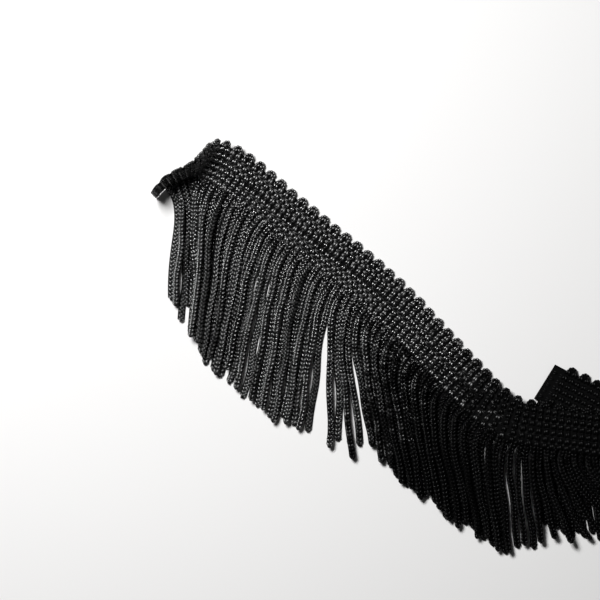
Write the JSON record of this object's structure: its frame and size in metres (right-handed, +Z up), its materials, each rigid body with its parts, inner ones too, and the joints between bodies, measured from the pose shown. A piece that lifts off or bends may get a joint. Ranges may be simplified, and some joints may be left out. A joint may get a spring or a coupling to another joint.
{
  "type": "fringe trim",
  "caption": "Length of black knitted-cord fringe trim with a scalloped knitted heading, laid flat, one end turned up on edge and the other folded back under itself.",
  "frame": {"origin": "centre of the bounding box in plan, on the surface that the trim lies on", "axes": "+Z up out of the surface, +Y towards the heading, and the cords lie towards -Y"},
  "size_m": [0.1714, 0.1218, 0.0144],
  "materials": {
    "yarn": "lustrous black knitted polyester yarn"
  },
  "bodies": {
    "root": {"heading": "yarn", "fringe_turned_end": "yarn", "fringe_main": "yarn", "fringe_upper_run": "yarn", "fringe_lower_run": "yarn"}
  },
  "joints": []
}
